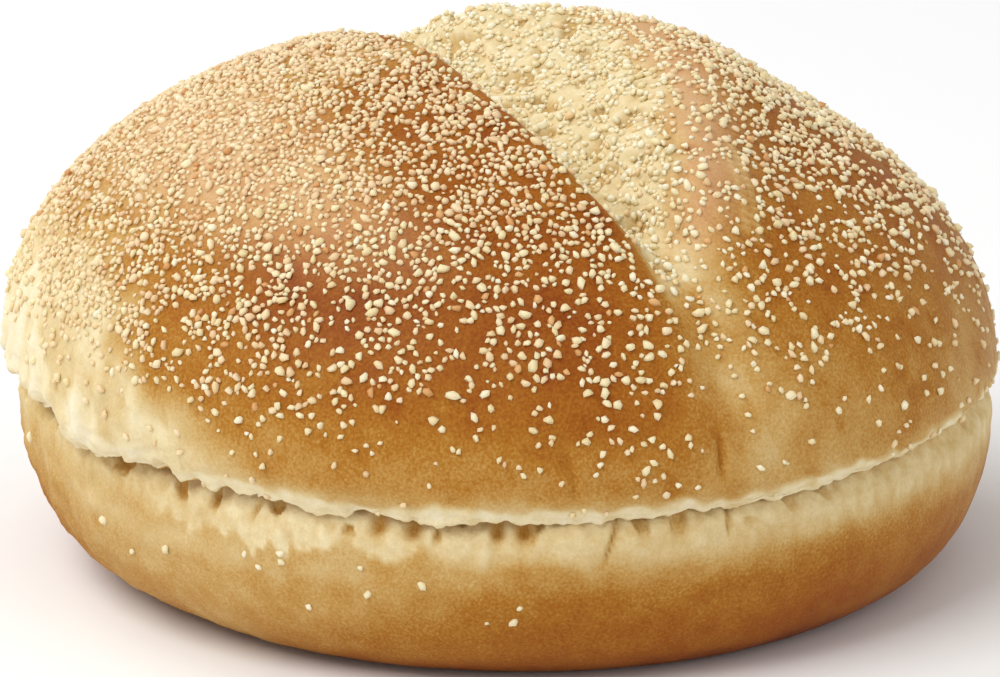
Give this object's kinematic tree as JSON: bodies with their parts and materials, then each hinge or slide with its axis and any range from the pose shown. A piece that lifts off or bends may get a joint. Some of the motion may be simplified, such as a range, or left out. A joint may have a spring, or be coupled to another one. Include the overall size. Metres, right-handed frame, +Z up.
{
  "type": "bread roll",
  "caption": "Round domed bread roll with a cleft across its crown, a break round its side and a flat base.",
  "frame": {"origin": "middle of the flat base", "axes": "+Z up; +Y along the cleft; +X towards the lobe with the pale slope"},
  "size_m": [0.1048, 0.1048, 0.0554],
  "materials": {
    "crust": "soft matt baked crust, browned on the crown and foot, pale in the cleft and along the break",
    "grits": "hard dry corn grits, cream to toasted, scattered over the crown"
  },
  "bodies": {
    "root": {"bread_roll": "crust"}
  },
  "joints": []
}
